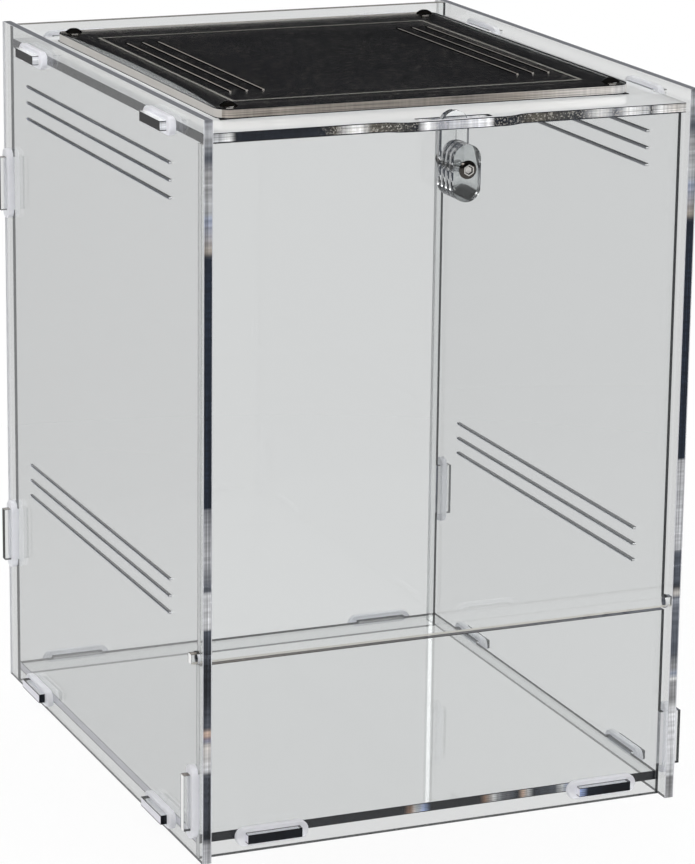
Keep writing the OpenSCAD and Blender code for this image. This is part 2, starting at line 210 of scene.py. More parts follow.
class TerrariumStage(bpy.types.PropertyGroup):
    """Camera, light and floor."""

    eye: FloatVectorProperty(
        name="Eye", description="Place of the camera", size=3, subtype="TRANSLATION",
        default=(-0.75776, -1.80957, 0.71405))
    azimuth: FloatProperty(
        name="Azimuth", description="Angle round the object, 0 looks to the back, in degrees",
        default=-22.906)
    elevation: FloatProperty(
        name="Elevation", description="Angle above the horizon, in degrees", default=15.307)
    roll: FloatProperty(name="Roll", description="Tilt of the picture, in degrees", default=0.717)
    lens: FloatProperty(
        name="Lens", description="Focal length for a 36 mm long side, in mm", default=154.68)
    floor_colour: StringProperty(
        name="Floor", description="sRGB hex colour of the floor", default="F6F6F6")
    dark_colour: StringProperty(
        name="Dark of the studio", description="sRGB hex colour that bent light shows",
        default="222A38")
    through: FloatProperty(
        name="Seen through", description="Brightness of the backdrop seen through the sheets",
        default=0.785)
    mirrored: FloatProperty(
        name="Seen mirrored", description="Brightness of the backdrop that glossy faces mirror",
        default=0.55)
    ambient: FloatProperty(
        name="Ambient", description="Light that matt surfaces get from all round", default=0.75)


def linear(hex_colour):
    """A colour in Blender's linear space from an sRGB hex value."""
    out = []
    for i in (0, 2, 4):
        s = int(hex_colour[i:i + 2], 16) / 255
        out.append(s / 12.92 if s <= 0.04045 else ((s + 0.055) / 1.055) ** 2.4)
    return (*out, 1.0)


def add_node(tree, kind, settings=None, **inputs):
    """Adds a node, sets its properties, and sets or links its inputs by name or number."""
    node = tree.nodes.new(kind)
    for name, value in (settings or {}).items():
        setattr(node, name, value)
    for name, value in inputs.items():
        key = int(name[1:]) if name[0] == "i" and name[1:].isdigit() else name.replace("_", " ")
        if isinstance(value, bpy.types.NodeSocket):
            tree.links.new(value, node.inputs[key])
        else:
            node.inputs[key].default_value = value
    return node


def new_material(name):
    """An empty node material and its output node."""
    material = bpy.data.materials.new(name)
    material.use_nodes = True
    tree = material.node_tree
    tree.nodes.clear()
    return material, tree, tree.nodes.new("ShaderNodeOutputMaterial")


def see_through_for_lamps(tree, output, shader, colour):
    """Ends a clear material so that lamp light passes it with a tint and doesn't stop."""
    path = add_node(tree, "ShaderNodeLightPath")
    film = add_node(tree, "ShaderNodeBsdfTransparent", Color=colour)
    mix = add_node(tree, "ShaderNodeMixShader", i0=path.outputs["Is Shadow Ray"],
                   i1=shader, i2=film.outputs[0])
    tree.links.new(mix.outputs[0], output.inputs["Surface"])


def acrylic_cast_laser_cut(looks, name, thin, along, blocks, ends, within, arris=None,
                           haze=0.0, glitter=0.0, ticks=0.25):
    """Cast acrylic sheet, laser cut: clear mirror-smooth faces, and cut edges that show the
    piped light as blocks of pale and navy along one axis, between two thin arris lines."""
    material, tree, output = new_material("acrylic_cast_laser_cut_" + name)
    low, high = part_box(name)
    tint = linear(looks.sheet_colour)
    place = add_node(tree, "ShaderNodeTexCoord")
    normal = add_node(tree, "ShaderNodeSeparateXYZ", Vector=place.outputs["Normal"])
    point = add_node(tree, "ShaderNodeSeparateXYZ", Vector=place.outputs["Object"])

    def faces_away(axis):
        size = add_node(tree, "ShaderNodeMath", {"operation": "ABSOLUTE"},
                        i0=normal.outputs[axis])
        return add_node(tree, "ShaderNodeMath", {"operation": "LESS_THAN"}, i0=size.outputs[0],
                        i1=ALONG_LIMIT).outputs[0]

    cut = faces_away(thin)
    side = add_node(tree, "ShaderNodeMath", {"operation": "MULTIPLY"}, i0=cut,
                    i1=faces_away(along))
    # Painted shade: a thin dark line along both arrises of each cut edge; on the side panels the
    # line is a pale painted highlight of the key light.
    across = add_node(tree, "ShaderNodeMapRange", Value=point.outputs[thin],
                      From_Min=low[thin], From_Max=high[thin], To_Max=high[thin] - low[thin])
    inset = add_node(tree, "ShaderNodeMath", {"operation": "PINGPONG"}, i0=across.outputs[0],
                     i1=(high[thin] - low[thin]) / 2)
    line = add_node(tree, "ShaderNodeMath", {"operation": "LESS_THAN"}, i0=inset.outputs[0],
                    i1=looks.arris_width)
    corner = add_node(tree, "ShaderNodeMath", {"operation": "MULTIPLY"}, i0=cut,
                      i1=line.outputs[0])

    # Laser striations: fine streaks that run along the cut, 0.5 mm wide and 60 mm long.
    scale = [17.0, 17.0, 17.0]
    scale[thin] = 2000.0
    stretch = add_node(tree, "ShaderNodeMapping", {"vector_type": "POINT"},
                       Vector=place.outputs["Object"], Scale=scale)
    streaks = add_node(tree, "ShaderNodeTexNoise", Vector=stretch.outputs[0], Scale=1.0,
                       Detail=1.0)
    reach = add_node(tree, "ShaderNodeMapRange", Value=point.outputs[along],
                     From_Min=low[along], From_Max=high[along])
    ramp = add_node(tree, "ShaderNodeValToRGB", Fac=reach.outputs[0])
    stops = ramp.color_ramp.elements
    span = (high[along] - low[along]) / MM
    for i, (mm, light) in enumerate(blocks):
        spot = min(1.0, max(0.0, (mm - low[along] / MM) / span))
        stop = stops[i] if i < 2 else stops.new(spot)
        stop.position = spot
        stop.color = linear(PIPED[light])
    shade = add_node(tree, "ShaderNodeMapRange", Value=streaks.outputs["Fac"], From_Min=0.3,
                     From_Max=0.7, To_Min=0.55, To_Max=1.35)
    # The laser's pulses: ticks straight across the cut, about 1 mm apart.
    scale = [500.0, 500.0, 500.0]
    scale[thin] = 0.0
    narrow = add_node(tree, "ShaderNodeMapping", {"vector_type": "POINT"},
                      Vector=place.outputs["Object"], Scale=scale)
    pulses = add_node(tree, "ShaderNodeTexNoise", Vector=narrow.outputs[0], Scale=1.0,
                      Detail=2.0)
    tick = add_node(tree, "ShaderNodeMapRange", Value=pulses.outputs["Fac"], From_Min=0.35,
                    From_Max=0.68, To_Min=1 - 0.6 * ticks, To_Max=1 + 1.2 * ticks)
    both = add_node(tree, "ShaderNodeMath", {"operation": "MULTIPLY"}, i0=shade.outputs[0],
                    i1=tick.outputs[0])
    block = add_node(tree, "ShaderNodeVectorMath", {"operation": "SCALE"},
                     Vector=ramp.outputs["Color"], Scale=both.outputs[0])
    # Painted glints: the mesh's wires glitter in the roof's cut edge as warm points 1 mm apart.
    points = add_node(tree, "ShaderNodeTexNoise", Vector=place.outputs["Object"], Scale=1000.0,
                      Detail=2.0)
    spread = add_node(tree, "ShaderNodeMapRange", Value=point.outputs[along],
                      From_Min=GLITTER_START, From_Max=GLITTER_FULL, To_Max=glitter)
    bright = add_node(tree, "ShaderNodeMapRange", Value=points.outputs["Fac"], From_Min=0.54,
                      From_Max=0.66, To_Max=spread.outputs[0])
    specks = add_node(tree, "ShaderNodeMix", {"data_type": "RGBA"}, i0=bright.outputs[0],
                      i6=block.outputs[0], i7=linear("E6E0D6"))
    # Painted light and shade at the cut edges across the blocks' axis, one colour at each end.
    far = add_node(tree, "ShaderNodeMath", {"operation": "GREATER_THAN"},
                   i0=normal.outputs[along], i1=0.0)
    across_end = add_node(tree, "ShaderNodeMix", {"data_type": "RGBA"}, i0=far.outputs[0],
                          i6=linear(ends[0]), i7=linear(ends[1]))
    end = add_node(tree, "ShaderNodeMix", {"data_type": "RGBA"}, i0=cut, i6=tint,
                   i7=across_end.outputs[2])
    lit = add_node(tree, "ShaderNodeMix", {"data_type": "RGBA"}, i0=side.outputs[0],
                   i6=end.outputs[2], i7=specks.outputs[2])
    edge = add_node(tree, "ShaderNodeMix", {"data_type": "RGBA"}, i0=corner.outputs[0],
                    i6=lit.outputs[2], i7=linear(arris or looks.arris_colour))
    # Seen from inside the sheet, where normals point inwards, its cut edges are plain: flat
    # painted light and shade, one colour per direction, without blocks.
    facing = add_node(tree, "ShaderNodeNewGeometry")
    behind = add_node(tree, "ShaderNodeMath", {"operation": "LESS_THAN"},
                      i0=normal.outputs[Y], i1=0.0)
    lengthwise = add_node(tree, "ShaderNodeMix", {"data_type": "RGBA"}, i0=behind.outputs[0],
                          i6=linear("F8F8FC"), i7=linear(within[Y]))
    crosswise = add_node(tree, "ShaderNodeMix", {"data_type": "RGBA"}, i0=faces_away(Z),
                         i6=linear(within[Z]), i7=linear(within[X]))
    inner = add_node(tree, "ShaderNodeMix", {"data_type": "RGBA"}, i0=faces_away(Y),
                     i6=lengthwise.outputs[2], i7=crosswise.outputs[2])
    inside = add_node(tree, "ShaderNodeMath", {"operation": "MULTIPLY"}, i0=cut,
                      i1=facing.outputs["Backfacing"])
    colour = add_node(tree, "ShaderNodeMix", {"data_type": "RGBA"}, i0=inside.outputs[0],
                      i6=edge.outputs[2], i7=inner.outputs[2])
    frosted = add_node(tree, "ShaderNodeMapRange", Value=side.outputs[0], To_Min=0.05,
                       To_Max=looks.cut_clear)
    clear = add_node(tree, "ShaderNodeMapRange", Value=cut, To_Min=1.0 - haze,
                     To_Max=frosted.outputs[0])
    kept = add_node(tree, "ShaderNodeMapRange", Value=inside.outputs[0],
                    To_Min=clear.outputs[0], To_Max=0.0)
    rough = add_node(tree, "ShaderNodeMapRange", Value=cut, To_Min=0.0, To_Max=0.06)
    # The frosted skin of a cut mirrors less than the cast face.
    gloss = add_node(tree, "ShaderNodeMapRange", Value=cut, To_Min=0.5, To_Max=0.15)
    glass = add_node(tree, "ShaderNodeBsdfPrincipled", Base_Color=colour.outputs[2],
                     Roughness=rough.outputs[0], IOR=ACRYLIC_IOR,
                     Specular_IOR_Level=gloss.outputs[0], Transmission_Weight=kept.outputs[0])
    see_through_for_lamps(tree, output, glass.outputs[0], tint)
    return material


def acrylic_polished(looks):
    """Cast acrylic with flame-polished edges: clear and glossy all round."""
    material, tree, output = new_material("acrylic_cast_flame_polished")
    tint = linear(looks.sheet_colour)
    glass = add_node(tree, "ShaderNodeBsdfPrincipled", Base_Color=tint, Roughness=0.0,
                     IOR=ACRYLIC_IOR, Transmission_Weight=1.0)
    see_through_for_lamps(tree, output, glass.outputs[0], tint)
    return material


def silicone_translucent(looks):
    """Moulded translucent silicone: milky, faintly blue, with a satin skin."""
    material, tree, output = new_material("silicone_translucent")
    colour = linear(looks.silicone_colour)
    place = add_node(tree, "ShaderNodeTexCoord")
    # A faint grain about 1 mm wide, which the mould leaves in the skin.
    grain = add_node(tree, "ShaderNodeTexNoise", Vector=place.outputs["Object"], Scale=900.0,
                     Detail=2.0)
    bump = add_node(tree, "ShaderNodeBump", Height=grain.outputs["Fac"], Strength=0.08,
                    Distance=0.05 * MM)
    body = add_node(tree, "ShaderNodeBsdfPrincipled", Base_Color=colour, Roughness=0.28,
                    IOR=1.41, Transmission_Weight=0.5, Normal=bump.outputs["Normal"])
    see_through_for_lamps(tree, output, body.outputs[0], colour)
    return material


def wire_mesh_black(looks):
    """Woven steel wire with a black coating: satin round wires with square holes between.
    The real weave is too fine to show in the render, so it is drawn coarser, at wire_pitch."""
    material, tree, output = new_material("wire_mesh_black_coated")
    place = add_node(tree, "ShaderNodeTexCoord")
    axes = add_node(tree, "ShaderNodeSeparateXYZ", Vector=place.outputs["Object"])
    crowns = []
    for axis in (X, Y):
        cell = add_node(tree, "ShaderNodeMath", {"operation": "PINGPONG"},
                        i0=axes.outputs[axis], i1=looks.wire_pitch / 2)
        near = add_node(tree, "ShaderNodeMath", {"operation": "DIVIDE"},
                        i0=cell.outputs[0], i1=looks.wire_width / 2)
        square = add_node(tree, "ShaderNodeMath", {"operation": "POWER"}, i0=near.outputs[0], i1=2.0)
        crown = add_node(tree, "ShaderNodeMath", {"operation": "SUBTRACT", "use_clamp": True},
                         i0=1.0, i1=square.outputs[0])
        crowns.append(crown.outputs[0])
    top = add_node(tree, "ShaderNodeMath", {"operation": "MAXIMUM"}, i0=crowns[0], i1=crowns[1])
    round_top = add_node(tree, "ShaderNodeMath", {"operation": "SQRT"}, i0=top.outputs[0])
    bump = add_node(tree, "ShaderNodeBump", Height=round_top.outputs[0], Strength=1.0,
                    Distance=looks.wire_width / 2)
    # Painted light: the bright rim of the roof's cut-out, which shows through the weave, is
    # painted on the wires as a pale line, about 1 mm wide.
    low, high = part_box("vent_mesh")
    middle = (low + high) / 2
    half = (high - low) / 2
    gaps = []
    for axis in (X, Y):
        off = add_node(tree, "ShaderNodeMath", {"operation": "SUBTRACT"},
                       i0=axes.outputs[axis], i1=middle[axis])
        away = add_node(tree, "ShaderNodeMath", {"operation": "ABSOLUTE"}, i0=off.outputs[0])
        gap = add_node(tree, "ShaderNodeMath", {"operation": "SUBTRACT"}, i0=away.outputs[0],
                       i1=half[axis] - RIM_INSETS[axis])
        gaps.append(gap.outputs[0])
    rim = add_node(tree, "ShaderNodeMath", {"operation": "SMOOTH_MAX"}, i0=gaps[0], i1=gaps[1],
                   i2=3 * MM)
    off_rim = add_node(tree, "ShaderNodeMath", {"operation": "ABSOLUTE"}, i0=rim.outputs[0])
    pale = add_node(tree, "ShaderNodeMapRange", Value=off_rim.outputs[0], From_Min=0.5 * MM,
                    From_Max=1.2 * MM, To_Min=0.9, To_Max=0.0)
    # Painted highlights: the crossings of the wires catch the light as pale glints, more so in
    # patches about 4 mm wide.
    cross = add_node(tree, "ShaderNodeMath", {"operation": "MULTIPLY"}, i0=crowns[0],
                     i1=crowns[1])
    tops = add_node(tree, "ShaderNodeMath", {"operation": "POWER"}, i0=cross.outputs[0], i1=3.0)
    chance = add_node(tree, "ShaderNodeTexNoise", Vector=place.outputs["Object"], Scale=260.0,
                      Detail=1.0)
    glint_patches = add_node(tree, "ShaderNodeMapRange", Value=chance.outputs["Fac"], From_Min=0.54,
                    From_Max=0.7, To_Min=0.01, To_Max=0.6)
    painted_glint = add_node(tree, "ShaderNodeMath", {"operation": "MULTIPLY"}, i0=tops.outputs[0],
                     i1=glint_patches.outputs[0])
    light = add_node(tree, "ShaderNodeMath", {"operation": "MAXIMUM"}, i0=pale.outputs[0],
                     i1=painted_glint.outputs[0])
    coat_and_painted_light = add_node(tree, "ShaderNodeMix", {"data_type": "RGBA"}, i0=light.outputs[0],
                    i6=linear(looks.wire_colour), i7=linear("E4DED6"))
    wire = add_node(tree, "ShaderNodeBsdfPrincipled", Base_Color=coat_and_painted_light.outputs[2],
                    Roughness=0.42, Specular_IOR_Level=0.15, Normal=bump.outputs["Normal"])
    hole = add_node(tree, "ShaderNodeBsdfTransparent")
    solid = add_node(tree, "ShaderNodeMath", {"operation": "GREATER_THAN"},
                     i0=top.outputs[0], i1=0.001)
    mix = add_node(tree, "ShaderNodeMixShader", i0=solid.outputs[0], i1=hole.outputs[0],
                   i2=wire.outputs[0])
    tree.links.new(mix.outputs[0], output.inputs["Surface"])
    return material


def steel_polished(looks):
    """Polished stainless steel: a mirror with faint turning marks."""
    material, tree, output = new_material("stainless_steel_polished")
    # Painted highlight: faces that point straight up or to the front, the flat rings round the
    # sockets, are painted pale; the domes keep the darkened steel colour, which is painted shade.
    place = add_node(tree, "ShaderNodeTexCoord")
    normal = add_node(tree, "ShaderNodeSeparateXYZ", Vector=place.outputs["Normal"])
    flat = add_node(tree, "ShaderNodeMath", {"operation": "MAXIMUM"},
                    i0=normal.outputs["Z"], i1=0.0)
    front = add_node(tree, "ShaderNodeMath", {"operation": "MULTIPLY"},
                     i0=normal.outputs["Y"], i1=-1.0)
    facing = add_node(tree, "ShaderNodeMath", {"operation": "MAXIMUM"}, i0=flat.outputs[0],
                      i1=front.outputs[0])
    ring = add_node(tree, "ShaderNodeMapRange", Value=facing.outputs[0], From_Min=0.96,
                    From_Max=0.98)
    lit_and_shaded_steel = add_node(tree, "ShaderNodeMix", {"data_type": "RGBA"}, i0=ring.outputs[0],
                     i6=linear(looks.steel_shaded_colour), i7=linear("F6F4F0"))
    # Turning marks about 0.4 mm wide.
    marks = add_node(tree, "ShaderNodeTexNoise", Vector=place.outputs["Object"], Scale=2500.0,
                     Detail=1.0)
    rough = add_node(tree, "ShaderNodeMapRange", Value=marks.outputs["Fac"], To_Min=0.08,
                     To_Max=0.22)
    steel = add_node(tree, "ShaderNodeBsdfPrincipled", Base_Color=lit_and_shaded_steel.outputs[2],
                     Metallic=1.0, Roughness=rough.outputs["Result"])
    tree.links.new(steel.outputs[0], output.inputs["Surface"])
    return material


def floor_pale(stage):
    """Matt pale floor, bright to the eye and greyer behind the sheets, that keeps a shadow."""
    material, tree, output = new_material("floor_pale_matt")
    path = add_node(tree, "ShaderNodeLightPath")
    matt = add_node(tree, "ShaderNodeBsdfDiffuse", Color=linear(stage.floor_colour))
    through = path.outputs["Is Transmission Ray"]
    bright = add_node(tree, "ShaderNodeMix", {"data_type": "FLOAT"},
                      i0=path.outputs["Is Camera Ray"], i2=stage.mirrored, i3=1.0)
    strength = add_node(tree, "ShaderNodeMix", {"data_type": "FLOAT"}, i0=through,
                        i2=bright.outputs[0], i3=stage.through)
    glow = add_node(tree, "ShaderNodeEmission", Strength=strength.outputs[0])
    seen = add_node(tree, "ShaderNodeMath", {"operation": "MAXIMUM"},
                    i0=path.outputs["Is Camera Ray"], i1=path.outputs["Is Glossy Ray"])
    # All white from 0.7 m out, and matt enough near the object to hold its shadow.
    place = add_node(tree, "ShaderNodeTexCoord")
    away = add_node(tree, "ShaderNodeVectorMath", {"operation": "LENGTH"},
                    Vector=place.outputs["Object"])
    white = add_node(tree, "ShaderNodeMapRange", {"interpolation_type": "SMOOTHSTEP"},
                     Value=away.outputs["Value"], From_Min=0.2, From_Max=0.7, To_Min=0.88)
    share = add_node(tree, "ShaderNodeMath", {"operation": "MULTIPLY"}, i0=seen.outputs[0],
                     i1=white.outputs[0])
    mix = add_node(tree, "ShaderNodeMixShader", i0=share.outputs[0], i1=matt.outputs[0],
                   i2=glow.outputs[0])
    # Light that was bent round inside a sheet shows the dark of the studio.
    bent = add_node(tree, "ShaderNodeMapRange", Value=path.outputs["Glossy Depth"],
                    From_Max=2.0)
    piped = add_node(tree, "ShaderNodeMath", {"operation": "MULTIPLY"}, i0=bent.outputs[0],
                     i1=through)
    dark = add_node(tree, "ShaderNodeEmission", Color=linear(stage.dark_colour))
    mix = add_node(tree, "ShaderNodeMixShader", i0=piped.outputs[0], i1=mix.outputs[0],
                   i2=dark.outputs[0])
    tree.links.new(mix.outputs[0], output.inputs["Surface"])
    return material


def flag_black():
    """Black velvet of a studio flag."""
    material, tree, output = new_material("velvet_black")
    velvet = add_node(tree, "ShaderNodeEmission", Color=linear("17171A"))
    tree.links.new(velvet.outputs[0], output.inputs["Surface"])
    return material


def studio_world(stage):
    """A white backdrop to the camera, greyer through the sheets, dark above for reflections."""
    world = bpy.data.worlds.new("studio")
    world.use_nodes = True
    tree = world.node_tree
    tree.nodes.clear()
    path = add_node(tree, "ShaderNodeLightPath")
    place = add_node(tree, "ShaderNodeTexCoord")
    axes = add_node(tree, "ShaderNodeSeparateXYZ", Vector=place.outputs["Generated"])
    sky = add_node(tree, "ShaderNodeMapRange", {"interpolation_type": "SMOOTHSTEP"},
                   Value=axes.outputs["Z"], From_Min=0.3, From_Max=0.55,
                   To_Min=stage.mirrored, To_Max=0.06)
    mirrored = add_node(tree, "ShaderNodeMix", {"data_type": "FLOAT"},
                        i0=path.outputs["Is Glossy Ray"], i2=stage.ambient, i3=sky.outputs[0])
    behind = add_node(tree, "ShaderNodeMix", {"data_type": "FLOAT"},
                      i0=path.outputs["Is Transmission Ray"], i2=mirrored.outputs[0],
                      i3=stage.through)
    seen = add_node(tree, "ShaderNodeMix", {"data_type": "FLOAT"},
                    i0=path.outputs["Is Camera Ray"], i2=behind.outputs[0], i3=1.0)
    shell = add_node(tree, "ShaderNodeBackground", Strength=seen.outputs[0])
    output = add_node(tree, "ShaderNodeOutputWorld")
    tree.links.new(shell.outputs[0], output.inputs["Surface"])
    return world


def piece_from_mesh(name, mesh, material, body, slot, *nodes):
    """Makes a finished piece of a mesh, on a body, in place of some construction nodes."""
    piece = bpy.data.objects.new(name, mesh)
    bpy.context.scene.collection.objects.link(piece)
    piece.data.materials.append(material)
    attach(piece, body)
    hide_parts(*nodes)
    return piece


def smooth(mesh, angle=math.radians(35)):
    """Smooth shading that stays sharp at the mesh's real edges."""
    mesh.polygons.foreach_set("use_smooth", [True] * len(mesh.polygons))
    edges = bmesh.new()
    edges.from_mesh(mesh)
    for edge in edges.edges:
        edge.smooth = len(edge.link_faces) == 2 and edge.calc_face_angle(0) < angle
    edges.to_mesh(mesh)
    edges.free()


def rings_mesh(name, rings, closed_ends=True):
    """A mesh through rings of equal point count, with a fan at each end if they are closed."""
    verts = [point for ring in rings for point in ring]
    n = len(rings[0])
    faces = []
    for i in range(len(rings) - 1):
        a, b = i * n, (i + 1) * n
        faces += [(a + j, a + (j + 1) % n, b + (j + 1) % n, b + j) for j in range(n)]
    if closed_ends:
        faces.append(tuple(reversed(range(n))))
        faces.append(tuple(range((len(rings) - 1) * n, len(rings) * n)))
    mesh = bpy.data.meshes.new(name)
    mesh.from_pydata(verts, [], faces)
    mesh.validate()
    return mesh


def hex_radius(angle, across_flats):
    """Distance from a hexagon's middle to its side at an angle."""
    part = math.radians(60)
    return across_flats / 2 / math.cos((angle + part / 2) % part - part / 2)


def turned(steps, sides=48):
    """Rings round Z from (radius, z) steps, where a radius may be a function of the angle."""
    rings = []
    for radius, z in steps:
        ring = []
        for i in range(sides):
            angle = math.tau * i / sides
            r = radius(angle) if callable(radius) else radius
            ring.append(Vector((r * math.cos(angle), r * math.sin(angle), z)))
        rings.append(ring)
    return rings


def thread_steps(outer, z_from, z_to, pitch):
    """Steps of a threaded shank from z_from to z_to, a helix of V grooves."""
    depth = 0.61 * pitch
    count = max(2, round(abs(z_to - z_from) / pitch * 8))

    def radius_at(z):
        fade = min(1.0, min(abs(z - z_from), abs(z - z_to)) / pitch)

        def radius(angle):
            turn = (z / pitch - angle / math.tau) % 1.0
            return outer - depth * fade * (1 - abs(2 * turn - 1))
        return radius

    heights = [z_from + (z_to - z_from) * i / count for i in range(count + 1)]
    return [(radius_at(z), z) for z in heights]


def button_screw_rings(head_d, head_h, socket_af, lip, shank_d, length, pitch):
    """Rings of a button-head screw: its head rises from Z = 0 and its shank hangs below."""
    rim = head_h / 4
    dome = head_h - rim
    dome_r = (head_d * head_d / 4 + dome * dome) / (2 * dome)

    def dome_z(r):
        return head_h - dome_r + math.sqrt(dome_r * dome_r - r * r)

    def socket(grow):
        return lambda angle: hex_radius(angle, socket_af) + grow

    corner = 0.25 * MM
    floor = head_h / 2
    rim_z = dome_z(socket_af / 2 + lip)
    steps = [(0.05 * MM, floor - 0.25 * MM), (socket(-0.25 * MM), floor),
             (socket(0), floor + corner), (socket(0), rim_z - corner),
             (socket(corner), rim_z), (socket(lip), rim_z)]
    widest = head_d / 2
    start = socket_af / 2 / math.cos(math.radians(30)) + 1.6 * lip
    for i in range(7):
        r = start + (widest - start) * i / 6
        steps.append((min(r, widest), max(dome_z(min(r, widest * 0.999)), rim)))
    steps += [(widest, rim / 2), (widest - 0.2 * MM, 0.0), (shank_d / 2 + 0.1 * MM, 0.0)]
    steps += thread_steps(shank_d / 2, -0.3 * MM, -length + 0.4 * MM, pitch)
    steps += [(shank_d / 2 - 0.5 * MM, -length), (0.05 * MM, -length)]
    return turned(steps)


def cap_nut_rings(across_flats, height, bore_d, depth):
    """Rings of a cap nut that stands on Z = 0, from its dome down and up its bore."""
    dome_r = across_flats * 0.47
    base = height - dome_r
    hex_top = height * 0.45
    chamfer = 0.35 * MM

    def hexagon(limit):
        return lambda angle: min(hex_radius(angle, across_flats), limit)

    steps = [(0.05 * MM, height)]
    for i in range(1, 9):
        lean = math.radians(90) * i / 8
        steps.append((dome_r * math.sin(lean), base + dome_r * math.cos(lean)))
    corner = across_flats / 2 / math.cos(math.radians(30))
    steps += [(dome_r, hex_top + 0.05 * MM), (hexagon(corner - 2 * chamfer), hex_top),
              (hexagon(corner), hex_top - chamfer), (hexagon(corner), chamfer),
              (hexagon(corner - chamfer), 0.0), (bore_d / 2 + 0.2 * MM, 0.0),
              (bore_d / 2, 0.2 * MM), (bore_d / 2, depth), (0.05 * MM, depth + 0.3 * MM)]
    return turned(steps)


def placed(rings, where, turn):
    """Rings turned and moved to their place."""
    move = Matrix.Translation(where) @ turn
    return [[move @ point for point in ring] for ring in rings]


def joined(name, parts):
    """One mesh of several lists of rings."""
    whole = bmesh.new()
    for rings in parts:
        mesh = rings_mesh(name, rings)
        whole.from_mesh(mesh)
        bpy.data.meshes.remove(mesh)
    mesh = bpy.data.meshes.new(name)
    whole.to_mesh(mesh)
    whole.free()
    smooth(mesh)
    return mesh


def tube(name, rings):
    """A closed mesh through rings whose last one is the first again."""
    mesh = rings_mesh(name, rings, closed_ends=False)
    tidy = bmesh.new()
    tidy.from_mesh(mesh)
    bmesh.ops.remove_doubles(tidy, verts=tidy.verts, dist=1e-7)
    bmesh.ops.recalc_face_normals(tidy, faces=tidy.faces)
    tidy.to_mesh(mesh)
    tidy.free()
    smooth(mesh)
    return mesh


def band_frame(node):
    """Middle of a band's seat, its outward, long and short directions, and its three sizes."""
    low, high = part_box(node)
    size = high - low
    sides = {"left": (X, -1), "right": (X, 1), "back": (Y, 1), "front": (Y, -1)}
    out_axis, sign = sides[node.split("_")[1]]
    others = [axis for axis in (X, Y, Z) if axis != out_axis]
    long_axis, short_axis = sorted(others, key=lambda axis: -size[axis])
    seat = (low + high) / 2
    seat[out_axis] = low[out_axis] if sign > 0 else high[out_axis]
    unit = [Vector([float(axis == i) for axis in range(3)]) for i in range(3)]
    return (seat, unit[out_axis] * sign, unit[long_axis], unit[short_axis],
            size[out_axis], size[long_axis], size[short_axis])


def soft_band(node, looks):
    """A silicone ring round a tab, with rounded outer edges and a slightly swollen wall."""
    seat, out, along, across, depth, length, height = band_frame(node)
    r_out = height / 2
    half = length / 2 - r_out
    tab = 2.6 * MM
    inner_end = half + 0.1 * MM
    soft = looks.band_round
    per_end = 20
    per_side = 12

    def outline(inset):
        points = []
        for end, start in ((1, -90), (-1, 90)):
            for i in range(per_end + 1):
                angle = math.radians(start + 180 * i / per_end)
                r = r_out - inset
                points.append((end * half + r * math.cos(angle), r * math.sin(angle)))
            for i in range(1, per_side):
                points.append((end * half * (1 - 2 * i / per_side), end * (r_out - inset)))
        return points

    def bore(grow):
        points = []
        for end, start in ((1, -90), (-1, 90)):
            for i in range(per_end + 1):
                angle = math.radians(start + 180 * i / per_end)
                x, y = math.cos(angle), math.sin(angle)
                reach_x = (inner_end - half + grow) / max(abs(x), 1e-6)
                reach_y = (tab + grow) / max(abs(y), 1e-6)
                reach = min(reach_x, reach_y)
                points.append((end * half + reach * x, reach * y))
            for i in range(1, per_side):
                points.append((end * half * (1 - 2 * i / per_side), end * (tab + grow)))
        return points

    def loop(points, z):
        return [seat + along * x + across * y + out * z for x, y in points]

    rings = [loop(outline(0.25 * MM), 0.0), loop(outline(0.05 * MM), 0.3 * MM)]
    steps = 6
    for i in range(steps + 1):
        lean = math.radians(90) * i / steps
        rings.append(loop(outline(soft * (1 - math.cos(lean))), depth - soft * (1 - math.sin(lean))))
    rings += [loop(bore(0.35 * MM), depth), loop(bore(0.0), depth - 0.35 * MM),
              loop(bore(0.0), 0.25 * MM), loop(bore(0.2 * MM), 0.0)]
    rings.append(rings[0])
    return tube(node + "_silicone", rings)


def bowed_mesh(node):
    """The vent's mesh as a thin sheet whose left side bows in most and its front least."""
    low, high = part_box(node)
    steps = 24
    bows = {"left": 7 * MM, "front": 2.5 * MM, "right": 1 * MM, "back": 1 * MM}
    faces = bmesh.new()
    layers = []
    for z in (low.z + 0.05 * MM, high.z - 0.05 * MM):
        grid = []
        for i in range(steps + 1):
            row = []
            for j in range(steps + 1):
                u, v = i / steps, j / steps
                x0 = low.x + bows["left"] * math.sin(math.pi * v) ** 0.6
                x1 = high.x - bows["right"] * math.sin(math.pi * v)
                y0 = low.y + bows["front"] * math.sin(math.pi * u) ** 0.6
                y1 = high.y - bows["back"] * math.sin(math.pi * u)
                row.append(faces.verts.new((x0 + (x1 - x0) * u, y0 + (y1 - y0) * v, z)))
            grid.append(row)
        layers.append(grid)
    for grid in layers:
        for i in range(steps):
            for j in range(steps):
                faces.faces.new((grid[i][j], grid[i + 1][j], grid[i + 1][j + 1], grid[i][j + 1]))
    under, over = layers
    border = [(i, 0) for i in range(steps)] + [(steps, j) for j in range(steps)]
    border += [(i, steps) for i in range(steps, 0, -1)] + [(0, j) for j in range(steps, 0, -1)]
    for (i, j), (k, m) in zip(border, border[1:] + border[:1]):
        faces.faces.new((under[i][j], under[k][m], over[k][m], over[i][j]))
    bmesh.ops.recalc_face_normals(faces, faces=faces.faces)
    mesh = bpy.data.meshes.new(node)
    faces.to_mesh(mesh)
    faces.free()
    return mesh


